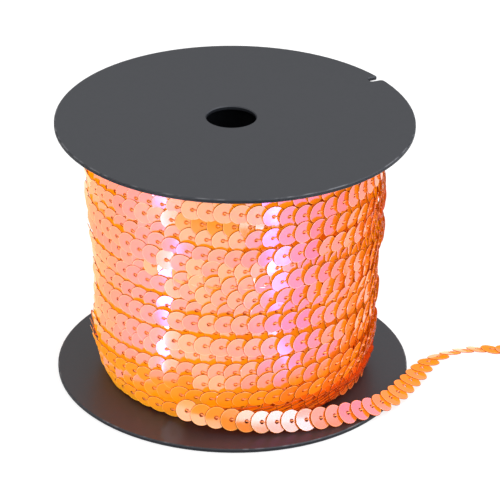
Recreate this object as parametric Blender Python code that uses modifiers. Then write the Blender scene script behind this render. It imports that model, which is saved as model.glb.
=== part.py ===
"""A black plastic spool wound with flat sequin trim. The trim's loose end leaves the lowest row at the front,
runs along the lower flange, twists over its rim and lies on the table to the right."""

import math

import bmesh
import bpy
from mathutils import Matrix, Vector

MM = 0.001
GAP = 0.3 * MM

# Spool
SPOOL_HEIGHT = 76.0 * MM
FLANGE_RADIUS = 49.0 * MM
FLANGE_THICKNESS = 1.2 * MM
FLANGE_EDGE = 0.25 * MM
BORE_RADIUS = 6.8 * MM
BORE_CENTRE = Vector((-1.0, 1.4)) * MM
HUB_RADIUS = 20.0 * MM
HUB_WALL = 1.8 * MM

# Slanted notch in the upper flange's rim, which catches the trim's end
NOTCH_MOUTH = Vector((40.4, 27.9)) * MM
NOTCH_AZIMUTH = math.radians(24.0)
NOTCH_WIDTH = 2.4 * MM
NOTCH_DEPTH = 3.6 * MM
NOTCH_INNER_RADIUS = 0.8 * MM
NOTCH_LEFT_LIP_RADIUS = 0.4 * MM
NOTCH_RIGHT_LIP_RADIUS = 1.3 * MM
NOTCH_RIM_SPAN = math.radians(3.0)

# Trim
SEQUIN_RADIUS = 3.0 * MM
SEQUIN_PITCH = 4.1 * MM
STRIP_THICKNESS = 0.7 * MM
SCALE_RISE = 0.35 * MM

# Winding
ROW_LIFT = 0.9 * MM
ROW_GROOVE = 0.55 * MM
ROW_CREST_HALF = 1.1 * MM

# Heights of the rows of trim in millimetres, top row first, at five azimuths across the front
ROW_AZIMUTHS = (-150, -120, -90, -60, -30)
ROW_HEIGHTS = (
    # left, half left, front, half right, right
    (65.5, 67.9, 67.8, 65.3, 66.0),
    (62.7, 64.0, 63.8, 62.8, 62.0),
    (60.5, 59.9, 59.9, 60.5, 58.7),
    (58.2, 56.6, 54.4, 54.7, 54.1),
    (54.5, 52.2, 50.5, 51.2, 49.4),
    (50.7, 49.0, 47.9, 49.2, 47.4),
    (47.3, 46.6, 46.0, 47.0, 45.3),
    (44.7, 44.4, 42.3, 41.6, 41.5),
    (39.9, 38.4, 38.3, 37.8, 36.1),
    (35.0, 34.3, 34.9, 34.3, 32.7),
    (31.8, 31.5, 31.8, 31.5, 30.2),
    (28.3, 28.2, 27.9, 27.5, 27.3),
    (23.6, 24.8, 24.4, 24.2, 24.2),
    (18.9, 19.2, 20.2, 21.5, 22.4),
    (15.1, 15.4, 16.4, 17.0, 17.2),
    (12.0, 11.5, 11.8, 12.1, 13.4),
    (7.6, 7.4, 6.9, 7.4, 8.6),
)

# How far each row rides over its neighbours, from 0, sunk between them, to 1, lying on both
LIFT_AZIMUTHS = (-135, -90, -45)
ROW_LIFTS = (
    # left, front, right
    (0.3, 0.8, 0.9),
    (0.7, 0.2, 0.1),
    (0.2, 1.0, 1.0),
    (0.9, 0.9, 0.9),
    (0.8, 0.3, 0.2),
    (0.2, 0.0, 0.0),
    (0.1, 0.4, 0.9),
    (0.9, 0.6, 0.7),
    (0.4, 0.2, 0.3),
    (0.8, 1.0, 0.9),
    (0.1, 0.0, 0.0),
    (0.9, 0.9, 1.0),
    (0.6, 0.1, 0.1),
    (0.8, 0.9, 0.7),
    (0.3, 0.5, 0.8),
    (0.7, 0.7, 0.8),
    (0.3, 0.1, 0.1),
)

# Radius of the winding under its rows in millimetres, at the height in the first column
WINDING_PROFILE = (
    # height, radius at the left, radius at the right
    (74.5, 40.6, 40.7),
    (62.0, 40.3, 40.7),
    (54.0, 39.9, 40.4),
    (46.0, 39.5, 40.4),
    (40.0, 38.5, 40.1),
    (30.0, 38.1, 39.4),
    (16.0, 38.1, 39.2),
    (11.0, 38.1, 39.0),
    (8.0, 37.8, 38.2),
    (5.0, 37.3, 37.6),
    (1.5, 36.4, 36.6),
)
LOWEST_ROW_EDGE = 2.4 * MM

# The loose end's route in millimetres, and how far its face leans up from upright, in degrees
LOOSE_END = (
    # x, y, z, lean
    (-15.9, -37.0, 7.8, 6.0),
    (-12.3, -38.6, 7.1, 10.0),
    (-8.2, -39.7, 6.4, 14.0),
    (-0.1, -40.6, 5.5, 20.0),
    (8.2, -40.5, 4.8, 26.0),
    (15.9, -38.9, 4.3, 30.0),
    (23.7, -36.9, 4.1, 34.0),
    (31.2, -33.4, 3.7, 44.0),
    (38.2, -28.4, 3.0, 60.0),
    (43.8, -22.0, 2.3, 68.0),
    (47.9, -14.7, 1.9, 72.0),
    (51.3, -7.9, 1.6, 81.0),
    (55.0, -0.6, 1.4, 96.0),
    (60.5, 4.2, 1.5, 108.0),
    (67.6, 6.9, 1.4, 106.0),
    (75.5, 7.7, 1.0, 96.0),
    (83.2, 7.0, 0.9, 92.0),
    (87.2, 6.2, 0.8, 90.0),
)
STEPS_PER_SEQUIN = 4

# Facets
RIM_STEPS = 96
BORE_STEPS = 40
CORNER_STEPS = 4
HUB_STEPS = 48
WINDING_STEPS = 48


def clear_scene():
    for obj in list(bpy.data.objects):
        bpy.data.objects.remove(obj, do_unlink=True)


def collection_named(name):
    found = bpy.data.collections.new(name)
    bpy.context.scene.collection.children.link(found)
    return found


def material(name, colour, roughness, metallic=0.0):
    made = bpy.data.materials.new(name)
    made.use_nodes = True
    shader = made.node_tree.nodes["Principled BSDF"]
    shader.inputs["Base Color"].default_value = (*colour, 1.0)
    shader.inputs["Roughness"].default_value = roughness
    shader.inputs["Metallic"].default_value = metallic
    return made


def add_object(name, data, look, collection):
    obj = bpy.data.objects.new(name, data)
    obj.data.materials.append(look)
    collection.objects.link(obj)
    return obj


# Outlines in the plane of a flange
def circle_point(radius, angle):
    return Vector((radius * math.cos(angle), radius * math.sin(angle)))


def arc_corner(before, corner, after, radius):
    """The points of an arc that rounds off the corner between two straight sides."""
    to_before = (before - corner).normalized()
    to_after = (after - corner).normalized()
    half = to_before.angle(to_after) / 2
    centre = corner + (to_before + to_after).normalized() * radius / math.sin(half)
    start = corner + to_before * radius / math.tan(half) - centre
    end = corner + to_after * radius / math.tan(half) - centre
    turn = -start.angle_signed(end)
    return [
        centre + Matrix.Rotation(turn * step / CORNER_STEPS, 2) @ start
        for step in range(CORNER_STEPS + 1)
    ]


def rim_crossing(start, direction):
    """Where a line from inside the rim, along a unit direction, meets the flange's rim."""
    along = start.dot(direction)
    return start + direction * (math.sqrt(along**2 + FLANGE_RADIUS**2 - start.length_squared) - along)


def plain_outline():
    return [circle_point(FLANGE_RADIUS, 2 * math.pi * step / RIM_STEPS) for step in range(RIM_STEPS)]


def notched_outline():
    """The rim from one lip of the notch round to the other, then down into the notch and back out."""
    outward = circle_point(1.0, NOTCH_AZIMUTH)
    across = Vector((-outward.y, outward.x)) * NOTCH_WIDTH / 2
    floor_left = NOTCH_MOUTH - outward * NOTCH_DEPTH + across
    floor_right = NOTCH_MOUTH - outward * NOTCH_DEPTH - across
    lip_left = rim_crossing(floor_left, outward)
    lip_right = rim_crossing(floor_right, outward)
    first = math.atan2(lip_left.y, lip_left.x) + NOTCH_RIM_SPAN
    last = math.atan2(lip_right.y, lip_right.x) - NOTCH_RIM_SPAN + 2 * math.pi
    rim = [
        circle_point(FLANGE_RADIUS, first + (last - first) * step / RIM_STEPS)
        for step in range(RIM_STEPS + 1)
    ]
    return (
        rim
        + arc_corner(rim[-1], lip_right, floor_right, NOTCH_RIGHT_LIP_RADIUS)
        + arc_corner(lip_right, floor_right, floor_left, NOTCH_INNER_RADIUS)
        + arc_corner(floor_right, floor_left, lip_left, NOTCH_INNER_RADIUS)
        + arc_corner(floor_left, lip_left, rim[0], NOTCH_LEFT_LIP_RADIUS)
    )


def add_loop(curve, points):
    spline = curve.splines.new("POLY")
    spline.points.add(len(points) - 1)
    for spline_point, point in zip(spline.points, points):
        spline_point.co = (point.x, point.y, 0.0, 1.0)
    spline.use_cyclic_u = True


def make_flange(name, outline, base, look, collection):
    """A flat disc with eased edges and the spindle's hole through it. base is the height of its underside."""
    curve = bpy.data.curves.new(name, "CURVE")
    curve.dimensions = "2D"
    curve.fill_mode = "BOTH"
    curve.extrude = FLANGE_THICKNESS / 2 - FLANGE_EDGE
    curve.bevel_depth = FLANGE_EDGE
    curve.bevel_resolution = 0
    curve.offset = -FLANGE_EDGE
    add_loop(curve, outline)
    add_loop(
        curve,
        [
            BORE_CENTRE + circle_point(BORE_RADIUS, -2 * math.pi * step / BORE_STEPS)
            for step in range(BORE_STEPS)
        ],
    )
    flange = add_object(name, curve, look, collection)
    flange.location.z = base + FLANGE_THICKNESS / 2
    return flange


def make_hub(look, collection):
    """The tube between the flanges, turned from its wall's section."""
    low = FLANGE_THICKNESS + GAP
    high = SPOOL_HEIGHT - FLANGE_THICKNESS - GAP
    inner = HUB_RADIUS - HUB_WALL
    section = [(HUB_RADIUS, high), (HUB_RADIUS, low), (inner, low), (inner, high)]
    mesh = bpy.data.meshes.new("hub")
    edges = [(i, (i + 1) % len(section)) for i in range(len(section))]
    mesh.from_pydata([(radius, 0.0, height) for radius, height in section], edges, [])
    hub = add_object("hub", mesh, look, collection)
    screw = hub.modifiers.new("Turn", "SCREW")
    screw.steps = HUB_STEPS
    screw.render_steps = HUB_STEPS
    screw.use_merge_vertices = True
    screw.merge_threshold = 0.01 * MM
    return hub


# The winding's form
def smooth(share):
    return share * share * (3 - 2 * share)


def read_table(positions, values, at):
    """The value at a position, eased between a table's columns and level past its ends."""
    if at <= positions[0]:
        return values[0]
    for low, high, first, second in zip(positions, positions[1:], values, values[1:]):
        if at <= high:
            return first + (second - first) * smooth((at - low) / (high - low))
    return values[-1]


def round_the_back(positions, values, azimuth):
    """Reads a table across the front, and joins its two ends round the back."""
    azimuth = (azimuth + 270) % 360 - 270
    if positions[0] <= azimuth <= positions[-1]:
        return read_table(positions, values, azimuth)
    behind = (azimuth - positions[-1]) % 360
    span = positions[0] + 360 - positions[-1]
    return values[-1] + (values[0] - values[-1]) * smooth(behind / span)


def row_height(row, azimuth):
    return round_the_back(ROW_AZIMUTHS, ROW_HEIGHTS[row], azimuth) * MM


def row_lift(row, azimuth):
    return round_the_back(LIFT_AZIMUTHS, ROW_LIFTS[row], azimuth) * ROW_LIFT


def base_radius(height, azimuth):
    """The winding's radius under its rows: tighter at the left than at the right."""
    heights = [line[0] for line in reversed(WINDING_PROFILE)]
    left = read_table(heights, [line[1] for line in reversed(WINDING_PROFILE)], height / MM)
    right = read_table(heights, [line[2] for line in reversed(WINDING_PROFILE)], height / MM)
    share = (1 + math.cos(math.radians(azimuth))) / 2
    return (left + (right - left) * share) * MM


def section_at(azimuth):
    """The winding's outer side at one azimuth, from top to bottom, as (radius, height): a crest along each
    row and a groove between each two."""
    top = SPOOL_HEIGHT - FLANGE_THICKNESS - GAP
    bottom = FLANGE_THICKNESS + GAP
    points = [(base_radius(top, azimuth), top)]
    rows = range(len(ROW_HEIGHTS))
    for row in rows:
        centre = row_height(row, azimuth)
        crest = base_radius(centre, azimuth) + row_lift(row, azimuth)
        below = row_height(row + 1, azimuth) if row + 1 in rows else LOWEST_ROW_EDGE
        half = min(ROW_CREST_HALF, (centre - below) / 3)
        points.append((crest, centre + half))
        points.append((crest, centre - half))
        groove = (centre + below) / 2
        shallow = row_lift(row, azimuth)
        if row + 1 in rows:
            shallow = (shallow + row_lift(row + 1, azimuth)) / 2
        points.append((base_radius(groove, azimuth) + shallow - ROW_GROOVE, groove))
    points.append((base_radius(bottom, azimuth), bottom))
    return points


def make_winding(look, collection):
    """One ring of wound trim. A plain section is spun round the axis, then each section takes its own form."""
    inner = HUB_RADIUS + GAP
    sections = [section_at(360 * step / WINDING_STEPS) for step in range(WINDING_STEPS)]
    top, bottom = sections[0][0][1], sections[0][-1][1]
    spacing = (top - bottom) / (len(sections[0]) - 1)
    mesh = bpy.data.meshes.new("winding")
    shape = bmesh.new()
    outer = [
        shape.verts.new((FLANGE_RADIUS, 0.0, top - spacing * i)) for i in range(len(sections[0]))
    ]
    inside = [shape.verts.new((inner, 0.0, bottom)), shape.verts.new((inner, 0.0, top))]
    loop = outer + inside
    edges = [shape.edges.new((loop[i - 1], loop[i])) for i in range(len(loop))]
    bmesh.ops.spin(
        shape,
        geom=loop + edges,
        axis=(0, 0, 1),
        cent=(0, 0, 0),
        steps=WINDING_STEPS,
        angle=2 * math.pi,
        use_merge=True,
    )
    for vertex in shape.verts:
        if vertex.co.xy.length < (inner + FLANGE_RADIUS) / 2:
            continue
        azimuth = math.atan2(vertex.co.y, vertex.co.x)
        step = round(azimuth / (2 * math.pi) * WINDING_STEPS) % WINDING_STEPS
        radius, height = sections[step][round((top - vertex.co.z) / spacing)]
        vertex.co = (*circle_point(radius, azimuth), height)
    bmesh.ops.recalc_face_normals(shape, faces=shape.faces)
    shape.to_mesh(mesh)
    shape.free()
    mesh.shade_smooth()
    return add_object("winding", mesh, look, collection)


# The loose end's form
def through(points, share):
    """A point of the smooth curve through a list of points, share being counted in points."""
    i = min(int(share), len(points) - 2)
    t = share - i
    before, first, second, after = (
        points[min(max(i + k, 0), len(points) - 1)] for k in (-1, 0, 1, 2)
    )
    return [
        0.5 * (2 * b + (c - a) * t + (2 * a - 5 * b + 4 * c - d) * t**2 + (3 * b - a - 3 * c + d) * t**3)
        for a, b, c, d in zip(before, first, second, after)
    ]


def even_route(spacing):
    """(place, lean) at even distances along the loose end's smooth route."""
    fine = [through(LOOSE_END, i / 20) for i in range(20 * (len(LOOSE_END) - 1) + 1)]
    places = [(Vector(point[:3]) * MM, math.radians(point[3])) for point in fine]
    route, left = [places[0]], spacing
    for (start, lean), (end, next_lean) in zip(places, places[1:]):
        step = (end - start).length
        while left <= step:
            route.append((start.lerp(end, left / step), lean + (next_lean - lean) * left / step))
            left += spacing
        left -= step
    return route


def frame_on(route, i):
    """The strip's direction, its facing and the direction across it at one point of its route."""
    ahead = route[min(i + 1, len(route) - 1)][0] - route[max(i - 1, 0)][0]
    ahead.normalize()
    right = ahead.cross(Vector((0, 0, 1))).normalized()
    lean = route[i][1]
    facing = (right * math.cos(lean) + right.cross(ahead) * math.sin(lean)).normalized()
    return ahead, facing, facing.cross(ahead)


def make_loose_end(look, collection):
    """The strip of overlapping sequins: scalloped along both edges, and stepped from each sequin to the next."""
    route = even_route(SEQUIN_PITCH / STEPS_PER_SEQUIN)
    mesh = bpy.data.meshes.new("loose_end")
    shape = bmesh.new()
    bmesh.ops.create_grid(shape, x_segments=len(route) - 1, y_segments=1, size=1.0)
    for vertex in shape.verts:
        i = round((vertex.co.x + 1) / 2 * (len(route) - 1))
        side = 1 if vertex.co.y > 0 else -1
        _, facing, across = frame_on(route, i)
        share = (i / STEPS_PER_SEQUIN + 0.5) % 1.0
        from_centre = (share - 0.5) * SEQUIN_PITCH
        half_width = math.sqrt(SEQUIN_RADIUS**2 - from_centre**2)
        vertex.co = route[i][0] + across * side * half_width + facing * SCALE_RISE * (0.5 - share)
    shape.to_mesh(mesh)
    shape.free()
    strip = add_object("loose_end", mesh, look, collection)
    solidify = strip.modifiers.new("Thickness", "SOLIDIFY")
    solidify.thickness = STRIP_THICKNESS
    solidify.offset = 0.0
    return strip


def main():
    clear_scene()
    parts = collection_named("sequin_trim_spool")
    black = material("black_plastic", (0.035, 0.036, 0.038), 0.55)
    orange = material("sequin_trim", (0.95, 0.42, 0.2), 0.3)
    make_flange("flange_lower", plain_outline(), 0.0, black, parts)
    make_flange("flange_upper", notched_outline(), SPOOL_HEIGHT - FLANGE_THICKNESS, black, parts)
    make_hub(black, parts)
    make_winding(orange, parts)
    make_loose_end(orange, parts)


main()
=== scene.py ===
"""Sequin trim wound on a black plastic spool: every sequin of the outer turns, the stitching thread, and
the loose end that lies over the lower flange's rim. Lengths are in millimetres until a mesh is made."""

import copy
import math

import bpy
import numpy as np
from mathutils import Matrix, Vector


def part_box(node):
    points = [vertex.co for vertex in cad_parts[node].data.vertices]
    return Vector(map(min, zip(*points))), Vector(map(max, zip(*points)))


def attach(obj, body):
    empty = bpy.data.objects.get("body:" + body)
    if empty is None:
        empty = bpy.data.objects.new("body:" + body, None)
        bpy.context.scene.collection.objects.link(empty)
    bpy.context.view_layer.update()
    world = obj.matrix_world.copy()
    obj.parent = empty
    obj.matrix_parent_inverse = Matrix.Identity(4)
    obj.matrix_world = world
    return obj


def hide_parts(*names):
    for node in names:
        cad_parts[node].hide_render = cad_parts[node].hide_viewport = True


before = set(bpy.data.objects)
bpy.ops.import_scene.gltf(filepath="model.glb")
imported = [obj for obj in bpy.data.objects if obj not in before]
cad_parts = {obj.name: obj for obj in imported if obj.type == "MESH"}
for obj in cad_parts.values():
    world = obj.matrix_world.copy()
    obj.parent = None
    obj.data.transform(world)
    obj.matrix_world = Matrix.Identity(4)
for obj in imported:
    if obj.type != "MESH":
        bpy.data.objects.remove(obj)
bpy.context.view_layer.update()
MM = 0.001
rng = np.random.default_rng(7)

# Camera, at the photo's viewing angle
FRAME_PIXELS = 500
FOCAL_PIXELS = 3271.0
SENSOR = 36.0
CAMERA_TARGET = 38.0
CAMERA_DISTANCE = 903.4
CAMERA_ELEVATION = 27.446
CAMERA_YAW = 0.286
CAMERA_PITCH = -0.111
CAMERA_ROLL = 0.566
NEAREST_SEEN = 0.01

# One sequin. Its cut edge flares out below the rim of its face, and it folds softly along its middle.
SEQUIN_RADIUS = 3.0
HOLE_RADIUS = 0.52
SEQUIN_THICKNESS = 0.16
EDGE_FLARE = 0.15
FACE_SIDE = SEQUIN_THICKNESS / 2
UNDER_SIDE = -SEQUIN_THICKNESS / 2
FOLD_ROUNDING = 0.5
SHARP_ANGLE = math.radians(40)

# Its section, from the hole out over the face and back underneath
FINE_SIDES = 28
FINE_SECTION = (
    # radius, height
    (HOLE_RADIUS, FACE_SIDE),
    (0.68, FACE_SIDE),
    (1.8, FACE_SIDE),
    (SEQUIN_RADIUS - 0.2, FACE_SIDE),
    (SEQUIN_RADIUS, FACE_SIDE),
    (SEQUIN_RADIUS + EDGE_FLARE, UNDER_SIDE),
    (SEQUIN_RADIUS - 0.1, UNDER_SIDE),
    (HOLE_RADIUS, UNDER_SIDE),
)
COARSE_SIDES = 18
COARSE_SECTION = (
    # radius, height
    (HOLE_RADIUS, FACE_SIDE),
    (SEQUIN_RADIUS - 0.2, FACE_SIDE),
    (SEQUIN_RADIUS, FACE_SIDE),
    (SEQUIN_RADIUS + EDGE_FLARE, UNDER_SIDE),
    (SEQUIN_RADIUS - 0.1, UNDER_SIDE),
    (HOLE_RADIUS, UNDER_SIDE),
)

# The stitch on each sequin
THREAD_RADIUS = 0.22
THREAD_SIDES = 6
THREAD_PATH = (
    # along, across, out, share of the radius
    (-0.15, 0.05, -0.4, 1.3),
    (0.0, 0.08, -0.05, 1.25),
    (0.3, 0.06, 0.14, 1.0),
    (0.7, 0.0, 0.16, 0.8),
    (1.15, -0.04, 0.12, 0.7),
    (1.65, 0.0, -0.05, 0.6),
)

# How far apart the sequins follow one another in the loose end and in the winding, where the step is in
# degrees. Each lies on the last at a slope. The outer rows' centres sit a little inside their base radius.
LOOSE_PITCH = 4.12
WOUND_PITCH = 4.256
WOUND_STEP = 6.4
SHINGLE_SLOPE = 0.14
CENTRE_INSET = 0.7

# Heights of the rows of trim, top row first, at five azimuths across the front. The trim is one long
# helix: a row's right end goes down round the back to the left end of the next.
ROW_AZIMUTHS = (-150, -120, -90, -60, -30)
ROW_HEIGHTS = (
    # left, half left, front, half right, right
    (71.3, 71.4, 71.3, 70.6, 70.4),
    (65.4, 67.8, 67.7, 65.3, 66.3),
    (62.4, 63.9, 63.7, 62.8, 62.2),
    (60.1, 59.7, 59.8, 60.5, 58.6),
    (57.5, 56.3, 54.3, 54.5, 53.7),
    (53.6, 51.8, 50.3, 51.0, 49.0),
    (49.6, 48.5, 47.7, 48.9, 46.9),
    (46.1, 46.0, 45.7, 46.7, 44.8),
    (43.0, 43.6, 41.7, 41.1, 40.9),
    (37.4, 37.2, 37.5, 37.1, 35.2),
    (32.4, 33.0, 34.0, 33.5, 31.5),
    (29.2, 30.1, 30.8, 30.6, 28.9),
    (25.7, 26.8, 26.8, 26.5, 25.8),
    (21.2, 23.3, 23.3, 23.2, 22.6),
    (16.3, 17.8, 19.1, 20.4, 20.7),
    (12.5, 14.0, 15.3, 15.9, 15.5),
    (8.9, 9.9, 10.6, 10.8, 11.3),
    (4.6, 5.0, 5.2, 5.3, 4.9),
)

# The azimuth of one sequin in each row's left half and of one in its right half. At the last of them the
# trim leaves the winding.
SEQUIN_AZIMUTHS = (
    # left, right
    (-130.1, -63.5),
    (-130.0, -63.0),
    (-132.1, -59.8),
    (-131.1, -63.1),
    (-132.3, -64.6),
    (-134.8, -60.9),
    (-135.1, -59.4),
    (-134.8, -58.6),
    (-131.7, -63.1),
    (-136.0, -60.1),
    (-131.3, -60.9),
    (-134.9, -59.0),
    (-133.6, -61.9),
    (-137.0, -60.4),
    (-134.1, -63.3),
    (-133.5, -63.1),
    (-137.0, -60.0),
    (-137.5, -115.2),
)

# How far each row rides over its neighbours, from 0, sunk between them, to 1, lying on both
LIFT_AZIMUTHS = (-135, -90, -45)
ROW_LIFTS = (
    # left, front, right
    (0.5, 0.3, 0.2),
    (0.3, 0.6, 0.7),
    (0.6, 0.3, 0.0),
    (0.0, 0.8, 0.9),
    (0.4, 0.9, 0.9),
    (0.8, 0.4, 0.0),
    (0.3, 0.1, 0.3),
    (0.1, 0.4, 0.9),
    (0.7, 0.6, 0.5),
    (0.6, 0.5, 0.5),
    (0.8, 1.0, 0.9),
    (0.0, 0.0, 0.0),
    (0.8, 0.9, 1.0),
    (0.4, 0.2, 0.0),
    (0.8, 0.7, 0.5),
    (1.0, 0.6, 0.8),
    (0.2, 0.6, 0.5),
    (0.1, 0.0, 0.0),
)

# How far the rows' faces are turned down from upright, at the same azimuths, as slopes
ROW_LEANS = (
    # left, front, right
    (0.12, 0.1, 0.1),
    (0.12, 0.12, 0.0),
    (0.1, -0.25, -0.2),
    (0.12, 0.12, 0.1),
    (0.12, 0.12, 0.12),
    (0.05, 0.1, -0.3),
    (-0.2, -0.25, 0.05),
    (0.1, 0.12, 0.1),
    (0.1, 0.0, 0.0),
    (0.1, 0.1, 0.1),
    (0.12, 0.12, 0.05),
    (0.0, 0.0, -0.2),
    (0.12, 0.12, 0.12),
    (0.1, 0.1, 0.1),
    (0.12, 0.12, 0.12),
    (0.38, 0.1, 0.18),
    (-0.08, 0.3, 0.3),
    (0.15, 0.15, 0.15),
)

# Radius of the winding under its outer rows, at the height in the first column
WINDING_PROFILE = (
    # height, radius at the left, radius at the right
    (1.5, 36.4, 36.6),
    (5.0, 37.3, 37.6),
    (8.0, 37.8, 38.2),
    (11.0, 38.1, 39.0),
    (16.0, 38.1, 39.2),
    (30.0, 38.1, 39.4),
    (40.0, 38.5, 40.1),
    (46.0, 39.5, 40.4),
    (54.0, 39.9, 40.4),
    (62.0, 40.3, 40.7),
    (74.5, 40.6, 40.7),
)

# Unevenness of the outer rows: a slow drift over about DRIFT_REACH degrees, and each sequin's own
DRIFT_REACH = 100.0
DRIFT_ALONG = 0.04
UNEVEN_ALONG = 0.02
UNEVEN_ACROSS = 0.05
MOST_FOLD = 0.03

# How far the last sequins before the loose end rise out of the winding, and over how many that fades
LEAVING_RISE = 1.4
LEAVING_COUNT = 2.5

# Settling neighbours on one another. A whole lift raises a row by ROW_LIFT. The upper of two sequins is
# pushed to SHINGLE_GAP above the lower at the probes, given as shares of the overlap's half width and half
# depth, and both are pulled back a little to where they started. No slope gets past STEEPEST.
ROW_LIFT = 1.15
SHINGLE_GAP = 0.14
OVERLAP_SHARE = 0.97
SETTLE_ROUNDS = 60
SETTLE_PUSH = 0.35
SETTLE_PULL = 0.04
TILT_WEIGHT = 3.0
STEEPEST = 0.4
SETTLE_PROBES = (
    # sideways, forward
    (0, 0),
    (0.8, 0),
    (-0.8, 0),
    (0, 0.85),
    (0, -0.85),
)

# The layer under the outer rows, and its painted shade, from 0 to 1, by the cosine of the azimuth: darkest
# on the right
UNDER_INSET = 1.55
UNDER_UNEVEN = 0.08
GAP_SHADE_SIDES = (-0.2, 0.3, 0.8)
GAP_SHADE_TONES = (0.0, 0.5, 0.8)

# The flat stack of turns under the last row, from its first azimuth to its last. Between the two fade
# azimuths its painted shade goes from full to none.
STACKED_FROM = -100.0
STACKED_TO = 120.0
STACKED_SHADE_FADE = (20.0, 110.0)
STACKED_UNEVEN_RADIUS = 0.1
STACKED_UNEVEN_HEIGHT = 0.08
STACKED_UNEVEN_SLOPE = 0.05
STACKED_ROWS = (
    # height of the top edge, its radius, lean in radians
    (8.3, 39.4, 0.9),
    (7.1, 38.9, 0.95),
    (5.8, 38.4, 1.0),
    (4.4, 37.9, 1.1),
    (3.4, 37.5, 1.2),
)

# The trim's first half turn, from START_TURNED up to the first row, in degrees along the helix. Its inset
# goes from the first of START_INSETS to the second between two places, and its faces are turned down.
START_TURNED = -335.0
START_INSET_AT = (-330.0, -200.0)
START_INSETS = (2.0, 0.3)
START_LEAN = 0.1

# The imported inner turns
CORE_INSET = 2.2
CORE_HOLE = 20.3
CORE_STEPS = 96
CORE_RINGS = 30

# The loose end's route, and how far its face is turned up from upright, in degrees
LOOSE_END = (
    # x, y, z, lean
    (-15.9, -37.0, 7.8, 6.0),
    (-12.3, -38.6, 7.1, 13.0),
    (-8.2, -39.7, 6.4, 16.0),
    (-0.1, -40.6, 5.5, 20.0),
    (8.2, -40.5, 4.8, 26.0),
    (15.9, -38.9, 4.3, 30.0),
    (23.7, -36.9, 4.1, 34.0),
    (31.2, -33.4, 3.7, 44.0),
    (38.2, -28.4, 3.0, 60.0),
    (43.8, -22.0, 2.3, 68.0),
    (47.9, -14.7, 1.9, 72.0),
    (51.3, -7.9, 1.6, 81.0),
    (55.0, -0.6, 1.4, 96.0),
    (60.5, 4.2, 1.5, 108.0),
    (67.6, 6.9, 1.4, 106.0),
    (75.5, 7.7, 1.0, 96.0),
    (83.2, 7.0, 0.9, 92.0),
    (87.2, 6.2, 0.8, 90.0),
)

# Its smooth route is read at ROUTE_POINTS points
ROUTE_POINTS = 2000

# Its sequins' fold and unevenness, and how much the first lies flatter than the rest
LOOSE_FOLD = 0.05
LOOSE_UNEVEN = 0.012
FIRST_FLATTER = 0.07

# How golden sequins are and how strong their painted glow is, from 0 to 1. In the winding it falls from
# left to right over the spread, as painted light that is brighter on the left, with some chance in it.
# Along the loose end it goes by x.
PAINTED_GLOW_SPREAD = 70.0
PAINTED_GLOW_BY_PLACE = 0.75
GOLD_BY_CHANCE = 0.25
LOOSE_PAINTED_GLOW_AT = (-16.0, 4.0, 18.0, 32.0, 44.0)
LOOSE_PAINTED_GLOW = (0.8, 0.3, 0.1, 0.2, 0.75)

# Colours of the sequins: the face, the painted shade of the layers deep in the gaps, the painted highlight
# line at the rim, and the painted shadow on the cut edges. A painted glow stands for the light that comes
# through them;
# it runs from a red sequin's colour to a golden one's.
FACE = (0.82, 0.085, 0.014)
GAP_SHADE_FACE = (0.66, 0.07, 0.01)
RIM_HIGHLIGHT = (0.95, 0.3, 0.1)
EDGE_SHADOW = (0.34, 0.05, 0.014)
PAINTED_GLOW_COLOURS = (
    # golden, colour
    (0.0, (0.26, 0.085, 0.0)),
    (0.5, (0.65, 0.3, 0.0)),
    (1.0, (0.86, 0.39, 0.0)),
)
GAP_SHADE_GLOW = (0.45, 0.065, 0.0)
PAINTED_GLOW_STRENGTH = 0.8

# Where a sequin's painted rim highlight starts and is full, and where the painted shadow at its hole's
# edge starts to fade and ends, as shares of its radius. The painted shadow on the cut edge starts and is
# full at shares of the way down the flare.
RIM_HIGHLIGHT_SHARES = (0.94, 0.965)
HOLE_SHADOW_SHARES = (0.185, 0.225)
EDGE_SHADOW_SHARES = (0.0, 0.35)

# The underside is shaded as if it were this far down the flare
UNDERSIDE_SHADE = 0.19

# The iridescent film's reflection, from seen square on to seen edge on, and its reflection dimmed as
# painted shade on the deep layers and as painted shadow on the cut edges. Clouds shift it a little.
FILM_COLOURS = (
    # share turned away, colour
    (0.0, (0.35, 0.9, 0.95)),
    (0.11, (0.5, 0.8, 0.95)),
    (0.16, (0.8, 0.7, 0.95)),
    (0.2, (0.8, 0.62, 0.95)),
    (0.235, (0.8, 0.55, 0.95)),
    (0.26, (0.8, 0.4, 1.0)),
    (0.29, (0.8, 0.25, 1.0)),
    (0.32, (0.8, 0.16, 1.0)),
    (0.43, (0.8, 0.09, 1.0)),
    (0.52, (0.9, 0.1, 0.95)),
    (0.65, (0.9, 0.2, 0.75)),
    (0.85, (1.0, 0.5, 0.6)),
    (1.0, (1.0, 1.0, 1.0)),
)
GAP_SHADE_FILM = (0.3, 0.06, 0.05)
EDGE_SHADOW_FILM = (0.1, 0.05, 0.03)
FILM_ROUGHNESS = 0.13
FILM_IOR = 2.0
CLOUD_SCALE = 700.0
CLOUD_DETAIL = 4.0
CLOUD_SHIFT = 0.1

# Thread and inner turns. The thread has a painted glow.
THREAD_COLOUR = (0.95, 0.3, 0.1)
THREAD_PAINTED_GLOW = (1.0, 0.3, 0.08)
THREAD_GLOW_STRENGTH = 0.15
THREAD_ROUGHNESS = 0.45
INNER_COLOUR = (0.95, 0.2, 0.01)
INNER_ROUGHNESS = 0.5
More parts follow.
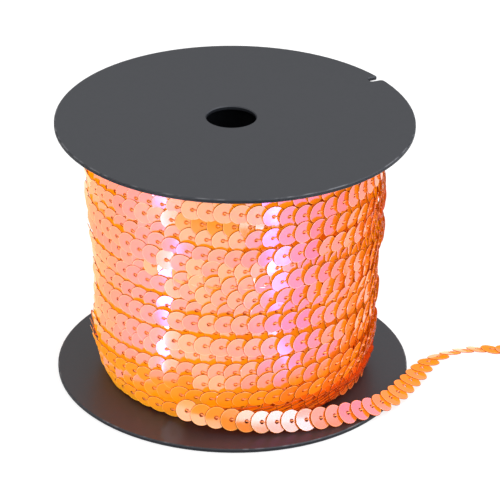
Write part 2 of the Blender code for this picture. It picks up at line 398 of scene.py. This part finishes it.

# Black plastic. It is dullest on its upright sides and where it is seen at a grazing angle. Light marks
# run round
# the flanges in a ring near the rim: scuffs together with a painted highlight along the rim's edge.
PLASTIC_ROUGHNESS = 0.42
PLASTIC_TINT = (0.9, 0.93, 1.0)
DULL_SIDES = 0.12
LEVEL_SHEEN = 0.64
LEVEL_FROM = 0.6
GRAZING_FROM = 0.58
GRAZING_FULL = 0.76
GRAIN_SCALE = 900.0
GRAIN_DETAIL = 6.0
GRAIN_COLOURS = (
    # grain, colour
    (0.3, (0.021, 0.0225, 0.0275)),
    (0.75, (0.0245, 0.026, 0.031)),
)
FLANGE_MARK_SCALE = 260.0
FLANGE_MARK_DETAIL = 5.0
FLANGE_MARK_COLOUR = (0.12, 0.12, 0.13)
FLANGE_MARK_FROM = 0.5
FLANGE_MARK_FULL = 0.62
RING_FROM = 48.0
RING_SHARES = (
    # radius over RING_FROM, marks
    (0.55, 0.0),
    (0.7, 1.0),
    (0.85, 1.0),
    (0.95, 0.0),
)

# The floor, in metres. It glows evenly up to EVEN_REACH from the axis, and from VARIED_REACH on it follows
# the azimuths below.
FLOOR_SIZE = 6.0
FLOOR_DROP = 0.0002
FLOOR_GREY = 0.3
FLOOR_ROUGHNESS = 0.9
EVEN_GLOW = 0.8
EVEN_REACH = 0.054
VARIED_REACH = 0.062

# How bright it is further out, by azimuth round the spool: the upright sequins mirror it
FLOOR_GLOW = (
    # azimuth, strength
    (-180, 0.8),
    (-170, 0.8),
    (-154, 1.1),
    (-138, 1.35),
    (-126, 1.35),
    (-125.2, 16.0),
    (-121, 16.0),
    (-120.2, 1.3),
    (-110, 1.2),
    (-96, 1.05),
    (-82, 1.05),
    (-68, 1.2),
    (-61, 1.7),
    (-53, 2.0),
    (-52, 8.5),
    (-48, 8.5),
    (-47, 2.2),
    (-32, 1.7),
    (-20, 1.35),
    (-2, 1.0),
    (18, 0.9),
    (54, 0.8),
    (180, 0.8),
)
MOST_GLOW = 16.0

# The floor's front, out of the picture: its glow fades to nothing between these two places along y
LIT_FRONT = -0.16
DARK_FRONT = -0.3

# The studio's light from left to right
SKY_LIGHT = (
    # share of the way, grey
    (0.0, 1.0),
    (0.5, 0.8),
    (1.0, 0.5),
)

# How strong it is by height: 0 is straight below, 0.5 the horizon and 1 straight overhead
ROOM_LIGHT = (
    # height, strength
    (0.0, 0.1),
    (0.55, 0.12),
    (0.63, 0.2),
    (0.7, 1.0),
    (1.0, 1.2),
)

# Lamps, in metres and watts
LAMPS = (
    # name, place, target, size, power, colour
    ("overhead", (0.35, -0.05, 0.85), (0, 0, 0.04), (0.5, 0.5), 1.8, (1.0, 1.0, 1.0)),
    ("front_right", (0.502, -0.666, 0.337), (0, 0, 0.01), (0.62, 0.31), 1.7, (0.92, 1.0, 1.04)),
    ("right", (0.68, -0.1, 0.578), (0.02, -0.02, 0.01), (1.9, 0.45), 2.6, (0.95, 0.97, 1.1)),
)


# Curves and directions
def smooth_through(knots, values, at):
    """A smooth curve through a table's values, read at any position. values may have several columns."""
    knots, values = np.asarray(knots, float), np.asarray(values, float)
    slopes = np.gradient(values, knots, axis=0)
    at = np.clip(at, knots[0], knots[-1])
    i = np.clip(np.searchsorted(knots, at) - 1, 0, len(knots) - 2)
    span = knots[i + 1] - knots[i]
    u = (at - knots[i]) / span
    if values.ndim > 1:
        span, u = span[:, None], u[:, None]
    return (
        values[i] * (2 * u**3 - 3 * u**2 + 1)
        + slopes[i] * span * (u**3 - 2 * u**2 + u)
        + values[i + 1] * (3 * u**2 - 2 * u**3)
        + slopes[i + 1] * span * (u**3 - u**2)
    )


def along_helix(azimuths, rows, turned):
    """A table of rows read along the helix. turned is in degrees: 360 more is the next row."""
    knots = [360 * i + azimuth for i in range(len(rows)) for azimuth in azimuths]
    return smooth_through(knots, np.ravel(rows), turned)


def base_radius(height, azimuth):
    """The winding's radius under its outer rows, at a height and an azimuth in radians."""
    heights, left, right = np.array(WINDING_PROFILE).T
    share = (1 + np.cos(azimuth)) / 2
    return np.interp(height, heights, left) * (1 - share) + np.interp(height, heights, right) * share


def travelled(points):
    """How far along a line each of its points is."""
    steps = np.linalg.norm(np.diff(points, axis=0), axis=1)
    return np.concatenate([[0.0], np.cumsum(steps)])


def unit(vectors):
    return vectors / np.linalg.norm(vectors, axis=1, keepdims=True)


def outward(azimuth):
    """Level directions away from the axis."""
    return np.stack([np.cos(azimuth), np.sin(azimuth), np.zeros_like(azimuth)], 1)


# Places of sequins
class Sequins:
    """Many sequins as arrays: centre, the directions along and across the trim and out of its face, the
    slopes of each sequin's face along and across, its fold, its painted shade in a gap, and how golden it
    is and how strong its painted glow is."""

    def __init__(self, centre, along, out):
        self.centre = centre
        self.out = out
        self.along = unit(along - out * (along * out).sum(1, keepdims=True))
        self.across = np.cross(out, self.along)
        count = len(centre)
        self.slope_along = np.full(count, -SHINGLE_SLOPE)
        self.slope_across = np.zeros(count)
        self.fold = np.zeros(count)
        self.depth = np.zeros(count)
        # Painted glow: brighter and more golden on the left, as if lit from there, with a random part that
        # is the sequin's own tone
        left = np.clip(0.5 - centre[:, 0] / PAINTED_GLOW_SPREAD, 0, 1)
        self.gold_and_painted_glow = PAINTED_GLOW_BY_PLACE * left + GOLD_BY_CHANCE * rng.random(count)

    def tilted(self):
        """The three directions of each sequin after its tilt."""
        out = self.out - self.along * self.slope_along[:, None] - self.across * self.slope_across[:, None]
        out = unit(out)
        along = unit(self.along - out * (self.along * out).sum(1, keepdims=True))
        return along, np.cross(out, along), out

    def part(self, keep):
        """Only some of the sequins."""
        chosen = copy.copy(self)
        for name, values in vars(self).items():
            setattr(chosen, name, values[keep])
        return chosen


def joined(sets):
    """Several sets of sequins as one."""
    whole = copy.copy(sets[0])
    for name in vars(sets[0]):
        setattr(whole, name, np.concatenate([getattr(one, name) for one in sets]))
    return whole


def sequin_positions():
    """Where the sequins lie along the helix, in degrees turned, up to where the loose end leaves."""
    known = [360 * i + azimuth for i, pair in enumerate(SEQUIN_AZIMUTHS) for azimuth in pair]
    turned = [known[0]]
    for here, there in zip(known, known[1:]):
        ends = np.array([here, there])
        heights = along_helix(ROW_AZIMUTHS, ROW_HEIGHTS, ends)
        radius = base_radius(heights, np.radians(ends)).mean()
        count = round(math.radians(there - here) * radius / WOUND_PITCH)
        turned.extend(np.linspace(here, there, count + 1)[1:])
    lead_in = np.arange(ROW_AZIMUTHS[0], known[0] - WOUND_STEP, WOUND_STEP)
    return np.concatenate([lead_in, turned])


def drift(turned, reach):
    """Slow random change along the helix, about 1 in size, which holds over about reach degrees."""
    knots = np.arange(turned[0] - reach, turned[-1] + 2 * reach, reach)
    return smooth_through(knots, rng.normal(0, 1, len(knots)), turned)


def helix_places(turned, inset):
    """Sequins round the winding, at positions along its helix. inset sinks them below the outer rows."""
    azimuth = np.radians(turned)
    height = along_helix(ROW_AZIMUTHS, ROW_HEIGHTS, turned)
    radius = base_radius(height, azimuth) - inset
    out = outward(azimuth)
    centre = out * radius[:, None]
    centre[:, 2] = height
    sequins = Sequins(centre, np.gradient(centre, axis=0), out)
    sequins.slope_across += (base_radius(height + 1.0, azimuth) - base_radius(height - 1.0, azimuth)) / 2
    return sequins


def settle(sequins, lift):
    """Tilts and raises neighbouring sequins until each lies on the ones it covers. Of two that overlap,
    the one that is further out there at the start covers the other."""
    azimuth = np.arctan2(sequins.centre[:, 1], sequins.centre[:, 0])
    mean_radius = np.hypot(sequins.centre[:, 0], sequins.centre[:, 1]).mean()
    flat = np.stack([azimuth * mean_radius, sequins.centre[:, 2]], 1)
    apart = flat[None] - flat[:, None]
    half_way = math.pi * mean_radius
    apart[..., 0] = (apart[..., 0] + half_way) % (2 * half_way) - half_way
    near = np.hypot(apart[..., 0], apart[..., 1]) < 2 * SEQUIN_RADIUS * OVERLAP_SHARE
    under, over = np.nonzero(np.triu(near, 1))
    height = ROW_LIFT * lift
    slopes = np.stack([sequins.slope_along, sequins.slope_across], 1)
    middle = apart[under, over] / 2
    above = height[over] - height[under] - ((slopes[over] + slopes[under]) * middle).sum(1)
    swap = above < 0
    under[swap], over[swap] = over[swap], under[swap]
    step = apart[under, over]
    reach = np.hypot(step[:, 0], step[:, 1])
    direction = step / reach[:, None]
    sidelong = np.stack([-direction[:, 1], direction[:, 0]], 1)
    half_width = np.sqrt(SEQUIN_RADIUS**2 - reach**2 / 4)
    half_depth = SEQUIN_RADIUS - reach / 2
    rest_height, rest_slopes = height.copy(), slopes.copy()
    tilt_share = TILT_WEIGHT / SEQUIN_RADIUS**2
    for _ in range(SETTLE_ROUNDS):
        for sideways, forward in SETTLE_PROBES:
            place = (
                step / 2
                + sidelong * (half_width * sideways)[:, None]
                + direction * (half_depth * forward)[:, None]
            )
            on_under, on_over = place, place - step
            gap = (
                height[over] + (slopes[over] * on_over).sum(1)
                - height[under] - (slopes[under] * on_under).sum(1)
            )
            short = np.clip(SHINGLE_GAP - gap, 0, None)
            weight = 2 + tilt_share * ((on_under**2).sum(1) + (on_over**2).sum(1))
            push = SETTLE_PUSH * short / weight
            np.add.at(height, over, push)
            np.add.at(height, under, -push)
            np.add.at(slopes, over, on_over * (tilt_share * push)[:, None])
            np.add.at(slopes, under, -on_under * (tilt_share * push)[:, None])
        height += SETTLE_PULL * (rest_height - height)
        slopes += SETTLE_PULL * (rest_slopes - slopes)
        np.clip(slopes, -STEEPEST, STEEPEST, out=slopes)
    sequins.centre += sequins.out * height[:, None]
    sequins.slope_along, sequins.slope_across = slopes.T


# Meshes
def new_object(name, points, faces, material):
    mesh = bpy.data.meshes.new(name)
    mesh.from_pydata(points.tolist(), [], faces.tolist())
    mesh.materials.append(material)
    obj = bpy.data.objects.new(name, mesh)
    bpy.context.scene.collection.objects.link(obj)
    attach(obj, "root")
    return obj


def ring_faces(sides, loops):
    """Quads between the rings of a closed section that goes round: ring i holds points i*sides and on."""
    i, k = np.meshgrid(np.arange(loops), np.arange(sides), indexing="ij")
    j, m = (i + 1) % loops, (k + 1) % sides
    corners = np.stack([i * sides + k, i * sides + m, j * sides + m, j * sides + k], -1)
    return corners.reshape(-1, 4)


def repeated(faces, points_each, count):
    """The faces of one copy of a mesh, again for each of many copies."""
    return (faces[None] + points_each * np.arange(count)[:, None, None]).reshape(-1, 4)


def sequin_object(name, sequins, sides, section, material):
    """Many sequins as one mesh, each with the same section. Their tones go to the material."""
    radius, height = np.array(section, float).T
    angle = 2 * math.pi * np.arange(sides) / sides
    u = (radius[:, None] * np.cos(angle)).ravel()
    v = (radius[:, None] * np.sin(angle)).ravel()
    w = np.repeat(height, sides)
    along, across, out = sequins.tilted()
    bent = w - sequins.fold[:, None] * (np.sqrt(v**2 + FOLD_ROUNDING) - 1.0)
    points = (
        sequins.centre[:, None]
        + along[:, None] * u[None, :, None]
        + across[:, None] * v[None, :, None]
        + out[:, None] * bent[:, :, None]
    )
    count = len(u)
    faces = repeated(ring_faces(sides, len(section)), count, len(sequins.centre))
    obj = new_object(name, points.reshape(-1, 3) * MM, faces, material)
    # Painted shadow on the flared cut edge and painted shade on the underside
    shade = np.where(radius > SEQUIN_RADIUS, 1.0, UNDERSIDE_SHADE * (height < 0))
    tone = np.ones((len(sequins.centre), count, 4), np.float32)
    tone[..., 0] = np.repeat(radius, sides) / SEQUIN_RADIUS
    # Gold tone and painted glow, then the painted shade in the gaps
    tone[..., 1] = sequins.gold_and_painted_glow[:, None]
    tone[..., 2] = np.repeat(shade, sides)
    tone[..., 3] = sequins.depth[:, None]
    layer = obj.data.color_attributes.new("sequin", "FLOAT_COLOR", "POINT")
    layer.data.foreach_set("color", tone.ravel())
    obj.data.shade_smooth()
    obj.data.set_sharp_from_angle(angle=SHARP_ANGLE)
    return obj


def thread_object(name, sequins, material):
    """The stitch on each sequin: it comes up through the hole and runs on under the next sequin's edge."""
    table = np.array(THREAD_PATH, float)
    path = table[:, :3]
    thick = THREAD_RADIUS * table[:, 3]
    ahead = unit(np.gradient(path, axis=0))
    right = unit(np.cross(ahead, (0.0, 1.0, 0.0)))
    other = np.cross(ahead, right)
    angle = 2 * math.pi * np.arange(THREAD_SIDES) / THREAD_SIDES
    local = (
        path[:, None]
        + right[:, None] * np.cos(angle)[None, :, None] * thick[:, None, None]
        + other[:, None] * np.sin(angle)[None, :, None] * thick[:, None, None]
    ).reshape(-1, 3)
    along, across, out = sequins.tilted()
    points = (
        sequins.centre[:, None]
        + along[:, None] * local[None, :, :1]
        + across[:, None] * local[None, :, 1:2]
        + out[:, None] * local[None, :, 2:]
    )
    tube = ring_faces(THREAD_SIDES, len(path))[: THREAD_SIDES * (len(path) - 1)]
    faces = repeated(tube, len(local), len(sequins.centre))
    obj = new_object(name, points.reshape(-1, 3) * MM, faces, material)
    obj.data.shade_smooth()
    return obj


# Materials
def grey(level):
    return (level, level, level)


def principled(name):
    material = bpy.data.materials.new(name)
    material.use_nodes = True
    return material, material.node_tree, material.node_tree.nodes["Principled BSDF"]


def node(tree, kind, **settings):
    made = tree.nodes.new(kind)
    for key, value in settings.items():
        setattr(made, key, value)
    return made


def ramp(tree, factor, stops):
    made = node(tree, "ShaderNodeValToRGB")
    elements = made.color_ramp.elements
    while len(elements) < len(stops):
        elements.new(0.5)
    for element, (position, colour) in zip(elements, stops):
        element.position = position
        element.color = (*colour, 1.0)
    tree.links.new(factor, made.inputs["Fac"])
    return made.outputs["Color"]


def grey_ramp(tree, factor, stops):
    return ramp(tree, factor, [(position, grey(level)) for position, level in stops])


def rising(tree, factor, start, full):
    """0 up to start, 1 from full on."""
    return grey_ramp(tree, factor, [(0.0, 0.0), (start, 0.0), (full, 1.0)])


def mixed(tree, factor, first, second):
    """A colour between two, each a colour or a socket."""
    made = node(tree, "ShaderNodeMix", data_type="RGBA")
    tree.links.new(factor, made.inputs["Factor"])
    for name, value in (("A", first), ("B", second)):
        if isinstance(value, tuple):
            made.inputs[name].default_value = (*value, 1.0)
        else:
            tree.links.new(value, made.inputs[name])
    return made.outputs["Result"]


def scaled(tree, value, times, plus, clamp=False):
    """A socket's value times a number plus a number or another socket."""
    made = node(tree, "ShaderNodeMath", operation="MULTIPLY_ADD", use_clamp=clamp)
    tree.links.new(value, made.inputs[0])
    made.inputs[1].default_value = times
    if isinstance(plus, float):
        made.inputs[2].default_value = plus
    else:
        tree.links.new(plus, made.inputs[2])
    return made.outputs["Value"]


def share_between(tree, value, start, full):
    """0 where a socket's value is start, 1 where it is full, and no less or more beyond them."""
    return scaled(tree, value, 1 / (full - start), -start / (full - start), clamp=True)


def length_of(tree, vector):
    made = node(tree, "ShaderNodeVectorMath", operation="LENGTH")
    tree.links.new(vector, made.inputs[0])
    return made.outputs["Value"]


def parts_of(tree, vector):
    made = node(tree, "ShaderNodeSeparateXYZ")
    tree.links.new(vector, made.inputs["Vector"])
    return made.outputs


def place_on(tree, kind="Object"):
    return node(tree, "ShaderNodeTexCoord").outputs[kind]


def noise(tree, scale, detail):
    made = node(tree, "ShaderNodeTexNoise")
    tree.links.new(place_on(tree), made.inputs["Vector"])
    made.inputs["Scale"].default_value = scale
    made.inputs["Detail"].default_value = detail
    return made.outputs["Fac"]


def turned_away(tree):
    """From 0, a face seen square on, to 1, seen edge on."""
    made = node(tree, "ShaderNodeLayerWeight")
    made.inputs["Blend"].default_value = 0.5
    return made.outputs["Facing"]


def sequin_material():
    """Reads each sequin's tones: share of the radius, gold tone and painted glow, painted shadow on the
    cut edge, and painted shade in the gaps. It paints a highlight on the rim and a shadow at the hole's
    edge.
    """
    material, tree, shader = principled("iridescent_sequin")
    tone = node(tree, "ShaderNodeAttribute", attribute_name="sequin")
    split = node(tree, "ShaderNodeSeparateColor")
    tree.links.new(tone.outputs["Color"], split.inputs["Color"])
    reach, gold_and_painted_glow, edge_shade = (split.outputs[name] for name in ("Red", "Green", "Blue"))
    depth = tone.outputs["Alpha"]
    # Painted highlight at the rim over the face colour, with painted shade on the layers deep in the gaps
    lit = mixed(tree, rising(tree, reach, *RIM_HIGHLIGHT_SHARES), mixed(tree, depth, FACE, GAP_SHADE_FACE), RIM_HIGHLIGHT)
    # Painted shadow round the hole's edge
    hole_from, hole_to = HOLE_SHADOW_SHARES
    hole_shadow = grey_ramp(tree, reach, [(0.0, 1.0), (hole_from, 1.0), (hole_to, 0.0)])
    # Painted shadow on the cut edge
    edge_from, edge_full = EDGE_SHADOW_SHARES
    wall_shadow = grey_ramp(tree, edge_shade, [(edge_from, 0.0), (edge_full, 1.0)])
    painted_shadow = mixed(tree, hole_shadow, wall_shadow, grey(1.0))
    tree.links.new(mixed(tree, painted_shadow, lit, EDGE_SHADOW), shader.inputs["Base Color"])
    # Painted glow, standing for the light that comes through the sequins
    painted_glow = mixed(tree, depth, ramp(tree, gold_and_painted_glow, PAINTED_GLOW_COLOURS), GAP_SHADE_GLOW)
    tree.links.new(mixed(tree, painted_shadow, painted_glow, grey(0.0)), shader.inputs["Emission Color"])
    shader.inputs["Emission Strength"].default_value = PAINTED_GLOW_STRENGTH
    clouded = scaled(tree, noise(tree, CLOUD_SCALE, CLOUD_DETAIL), CLOUD_SHIFT, turned_away(tree))
    # The reflection is dimmed as painted shade in the gaps and painted shadow on the cut edges and hole
    film = mixed(tree, depth, ramp(tree, clouded, FILM_COLOURS), GAP_SHADE_FILM)
    tree.links.new(mixed(tree, painted_shadow, film, EDGE_SHADOW_FILM), shader.inputs["Specular Tint"])
    shader.inputs["Roughness"].default_value = FILM_ROUGHNESS
    shader.inputs["IOR"].default_value = FILM_IOR
    shader.inputs["Specular IOR Level"].default_value = 1.0
    return material


def inner_material():
    material, _, shader = principled("inner_turns")
    shader.inputs["Base Color"].default_value = (*INNER_COLOUR, 1.0)
    shader.inputs["Roughness"].default_value = INNER_ROUGHNESS
    return material


def thread_material():
    material, _, shader = principled("stitching_thread")
    shader.inputs["Base Color"].default_value = (*THREAD_COLOUR, 1.0)
    shader.inputs["Roughness"].default_value = THREAD_ROUGHNESS
    # Painted glow on the thread
    shader.inputs["Emission Color"].default_value = (*THREAD_PAINTED_GLOW, 1.0)
    shader.inputs["Emission Strength"].default_value = THREAD_GLOW_STRENGTH
    return material


def plastic_material():
    material, tree, shader = principled("black_plastic")
    normal = node(tree, "ShaderNodeNewGeometry").outputs["Normal"]
    sheen = grey_ramp(tree, parts_of(tree, normal)["Z"], [(0.0, DULL_SIDES), (LEVEL_FROM, LEVEL_SHEEN)])
    grazing = grey_ramp(tree, turned_away(tree), [(GRAZING_FROM, 0.0), (GRAZING_FULL, 1.0)])
    tree.links.new(mixed(tree, grazing, sheen, grey(DULL_SIDES)), shader.inputs["Specular IOR Level"])
    grain = ramp(tree, noise(tree, GRAIN_SCALE, GRAIN_DETAIL), GRAIN_COLOURS)
    # Scuffs together with a painted highlight along the flange rim's edge
    rim_mark_noise = grey_ramp(tree, noise(tree, FLANGE_MARK_SCALE, FLANGE_MARK_DETAIL), [(FLANGE_MARK_FROM, 0.0), (FLANGE_MARK_FULL, 1.0)])
    flat = node(tree, "ShaderNodeVectorMath", operation="MULTIPLY")
    tree.links.new(place_on(tree), flat.inputs[0])
    flat.inputs[1].default_value = (1.0, 1.0, 0.0)
    past = scaled(tree, length_of(tree, flat.outputs["Vector"]), 1 / MM, -RING_FROM, clamp=True)
    wear_and_rim_highlight = mixed(tree, grey_ramp(tree, past, RING_SHARES), grey(0.0), rim_mark_noise)
    tree.links.new(mixed(tree, wear_and_rim_highlight, grain, FLANGE_MARK_COLOUR), shader.inputs["Base Color"])
    shader.inputs["Specular Tint"].default_value = (*PLASTIC_TINT, 1.0)
    shader.inputs["Roughness"].default_value = PLASTIC_ROUGHNESS
    return material


def floor_material():
    material, tree, shader = principled("white_floor")
    shader.inputs["Base Color"].default_value = (*grey(FLOOR_GREY), 1.0)
    shader.inputs["Roughness"].default_value = FLOOR_ROUGHNESS
    place = place_on(tree)
    parts = parts_of(tree, place)
    angle = node(tree, "ShaderNodeMath", operation="ARCTAN2")
    tree.links.new(parts["Y"], angle.inputs[0])
    tree.links.new(parts["X"], angle.inputs[1])
    turn = scaled(tree, angle.outputs["Value"], 1 / (2 * math.pi), 0.5)
    further = [((azimuth + 180) / 360, strength / MOST_GLOW) for azimuth, strength in FLOOR_GLOW]
    away = share_between(tree, length_of(tree, place), EVEN_REACH, VARIED_REACH)
    glow = mixed(tree, away, grey(EVEN_GLOW / MOST_GLOW), grey_ramp(tree, turn, further))
    tree.links.new(glow, shader.inputs["Emission Color"])
    strength = node(tree, "ShaderNodeMath", operation="MULTIPLY")
    tree.links.new(share_between(tree, parts["Y"], DARK_FRONT, LIT_FRONT), strength.inputs[0])
    strength.inputs[1].default_value = MOST_GLOW
    tree.links.new(strength.outputs["Value"], shader.inputs["Emission Strength"])
    material.cycles.emission_sampling = "NONE"
    return material


# Stage
def add_camera():
    camera = bpy.data.objects.new("camera", bpy.data.cameras.new("camera"))
    bpy.context.scene.collection.objects.link(camera)
    elevation = math.radians(CAMERA_ELEVATION)
    back = Vector((0.0, -math.cos(elevation), math.sin(elevation)))
    place = (Vector((0.0, 0.0, CAMERA_TARGET)) + back * CAMERA_DISTANCE) * MM
    turn = (
        Matrix.Rotation(math.pi / 2 - elevation, 3, "X")
        @ Matrix.Rotation(-math.radians(CAMERA_YAW), 3, "Y")
        @ Matrix.Rotation(math.radians(CAMERA_PITCH), 3, "X")
        @ Matrix.Rotation(math.radians(CAMERA_ROLL), 3, "Z")
    )
    camera.matrix_world = Matrix.Translation(place) @ turn.to_4x4()
    camera.data.sensor_width = SENSOR
    camera.data.lens = FOCAL_PIXELS * SENSOR / FRAME_PIXELS
    camera.data.clip_start = NEAREST_SEEN
    bpy.context.scene.camera = camera


def add_lamp(name, place, target, size, power, colour):
    light = bpy.data.lights.new(name, "AREA")
    light.shape = "RECTANGLE"
    light.size, light.size_y = size
    light.energy = power
    light.color = colour
    obj = bpy.data.objects.new(name, light)
    bpy.context.scene.collection.objects.link(obj)
    obj.location = place
    obj.visible_camera = False
    obj.rotation_euler = (Vector(target) - Vector(place)).to_track_quat("-Z", "Y").to_euler()


def add_room():
    world = bpy.data.worlds.new("studio")
    world.use_nodes = True
    tree = world.node_tree
    parts = parts_of(tree, place_on(tree, "Generated"))
    sky = grey_ramp(tree, scaled(tree, parts["X"], 0.5, 0.5), SKY_LIGHT)
    room = grey_ramp(tree, scaled(tree, parts["Z"], 0.5, 0.5), ROOM_LIGHT)
    both = node(tree, "ShaderNodeMix", data_type="RGBA", blend_type="MULTIPLY")
    both.inputs["Factor"].default_value = 1.0
    tree.links.new(sky, both.inputs["A"])
    tree.links.new(room, both.inputs["B"])
    tree.links.new(both.outputs["Result"], tree.nodes["Background"].inputs["Color"])
    bpy.context.scene.world = world


def add_stage():
    bpy.context.scene.view_settings.view_transform = "Standard"
    add_room()
    bpy.ops.mesh.primitive_plane_add(size=FLOOR_SIZE, location=(0, 0, -FLOOR_DROP))
    floor = bpy.context.object
    floor.name = "floor"
    floor.data.materials.append(floor_material())
    for lamp in LAMPS:
        add_lamp(*lamp)


# Pieces
def winding_pieces(look, inner, thread):
    turned = sequin_positions()
    outer = outer_turns(turned)
    third = len(turned) // 3 + 1
    for i, name in enumerate(("top", "middle", "bottom")):
        keep = slice(i * third, (i + 1) * third)
        piece = sequin_object(f"sequins_{name}", outer.part(keep), FINE_SIDES, FINE_SECTION, look)
        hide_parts("winding")
    thread_object("winding_thread", outer, thread)
    sequin_object("sequins_under", under_turns(turned), COARSE_SIDES, COARSE_SECTION, look)
    sequin_object("sequins_stacked", stacked_turns(), COARSE_SIDES, COARSE_SECTION, look)
    core_object(inner)
    start = starting_turn()
    sequin_object("sequins_start", start, FINE_SIDES, FINE_SECTION, look)
    thread_object("start_thread", start, thread)


def outer_turns(turned):
    """The rows that show, settled on one another."""
    outer = helix_places(turned, CENTRE_INSET)
    count = len(turned)
    outer.slope_along += drift(turned, DRIFT_REACH) * DRIFT_ALONG
    outer.slope_along += rng.normal(0, UNEVEN_ALONG, count)
    outer.slope_across += along_helix(LIFT_AZIMUTHS, ROW_LEANS, turned)
    outer.slope_across += rng.normal(0, UNEVEN_ACROSS, count)
    outer.fold = rng.random(count) * MOST_FOLD
    settle(outer, along_helix(LIFT_AZIMUTHS, ROW_LIFTS, turned))
    to_end = count - 1 - np.arange(count)
    outer.centre += outer.out * (LEAVING_RISE * np.exp(-to_end / LEAVING_COUNT))[:, None]
    return outer


def under_turns(turned):
    """The layer that shows through the gaps, half a turn away from the outer rows."""
    under = helix_places(turned, UNDER_INSET)
    under.centre[:, 2] = along_helix(ROW_AZIMUTHS, ROW_HEIGHTS, turned + 180.0)
    under.slope_along /= 2
    under.slope_across += rng.normal(0, UNDER_UNEVEN, len(turned))
    # Painted shade in the gaps, darker towards the right
    under.depth = np.interp(np.cos(np.radians(turned)), GAP_SHADE_SIDES, GAP_SHADE_TONES)
    return under


def stacked_turns():
    """The turns under the last row on the right, where the sequins lie almost flat on one another."""
    rows = []
    for edge_height, edge_radius, lean in STACKED_ROWS:
        first = STACKED_FROM + rng.uniform(0, WOUND_STEP)
        azimuth = np.radians(first + np.arange(0.0, STACKED_TO - STACKED_FROM, WOUND_STEP))
        count = len(azimuth)
        out = outward(azimuth)
        radius = edge_radius - SEQUIN_RADIUS * math.sin(lean)
        centre = out * (radius + rng.normal(0, STACKED_UNEVEN_RADIUS, count))[:, None]
        drop = SEQUIN_RADIUS * math.cos(lean)
        centre[:, 2] = edge_height - drop + rng.normal(0, STACKED_UNEVEN_HEIGHT, count)
        along = np.stack([-out[:, 1], out[:, 0], out[:, 2]], 1)
        faced = out * math.cos(lean) - np.array([0.0, 0.0, math.sin(lean)])
        row = Sequins(centre, along, faced)
        row.slope_across += rng.normal(0, STACKED_UNEVEN_SLOPE, count)
        # Painted shade, fading out between the two fade azimuths
        row.depth = np.interp(np.degrees(azimuth), STACKED_SHADE_FADE, (1.0, 0.0))
        rows.append(row)
    return joined(rows)


def starting_turn():
    """The trim's first half turn, round the back, where it comes out from under the top row."""
    turned = np.arange(START_TURNED, ROW_AZIMUTHS[0] - WOUND_STEP / 2, WOUND_STEP)
    start = helix_places(turned, np.interp(turned, START_INSET_AT, START_INSETS))
    start.slope_across += START_LEAN
    return start


def core_object(material):
    """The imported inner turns, as one ring behind the sequins."""
    low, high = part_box("winding")
    bottom, top = low[2] / MM, high[2] / MM
    azimuth = 2 * math.pi * np.arange(CORE_STEPS) / CORE_STEPS
    heights = np.linspace(bottom, top, CORE_RINGS)
    profile = [(base_radius(height, azimuth) - CORE_INSET, height) for height in heights]
    profile += [(np.full(CORE_STEPS, CORE_HOLE), height) for height in (top, bottom)]
    rings = []
    for radius, height in profile:
        ring = outward(azimuth) * radius[:, None]
        ring[:, 2] = height
        rings.append(ring)
    faces = ring_faces(CORE_STEPS, len(rings))
    obj = new_object("inner_turns", np.concatenate(rings) * MM, faces, material)
    obj.data.shade_smooth()
    obj.data.set_sharp_from_angle(angle=SHARP_ANGLE)


def loose_end_piece(look, thread):
    route = np.array(LOOSE_END)
    reach = travelled(route[:, :3])
    fine = smooth_through(reach, route, np.linspace(0, reach[-1], ROUTE_POINTS))
    length = travelled(fine[:, :3])
    at = np.arange(LOOSE_PITCH, length[-1], LOOSE_PITCH)
    row = np.stack([np.interp(at, length, column) for column in fine.T], 1)
    steps = np.gradient(fine[:, :3], axis=0)
    ahead = unit(np.stack([np.interp(at, length, column) for column in steps.T], 1))
    right = unit(np.cross(ahead, (0.0, 0.0, 1.0)))
    up = np.cross(right, ahead)
    lean = np.radians(row[:, 3])[:, None]
    sequins = Sequins(row[:, :3], ahead, right * np.cos(lean) + up * np.sin(lean))
    # Painted glow along the loose end, set by x
    sequins.gold_and_painted_glow = np.interp(row[:, 0], LOOSE_PAINTED_GLOW_AT, LOOSE_PAINTED_GLOW)
    sequins.fold += LOOSE_FOLD
    sequins.slope_along[0] += FIRST_FLATTER
    sequins.slope_along += rng.normal(0, LOOSE_UNEVEN, len(at))
    sequins.slope_across += rng.normal(0, LOOSE_UNEVEN, len(at))
    piece = sequin_object("loose_end_sequins", sequins, FINE_SIDES, FINE_SECTION, look)
    stitches = thread_object("loose_end_thread", sequins, thread)
    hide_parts("loose_end")


add_camera()
sequin_look = sequin_material()
thread_look = thread_material()
plastic_look = plastic_material()
loose_end_piece(sequin_look, thread_look)
winding_pieces(sequin_look, inner_material(), thread_look)
for name in ("flange_lower", "flange_upper", "hub"):
    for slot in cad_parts[name].material_slots:
        slot.material = plastic_look
add_stage()
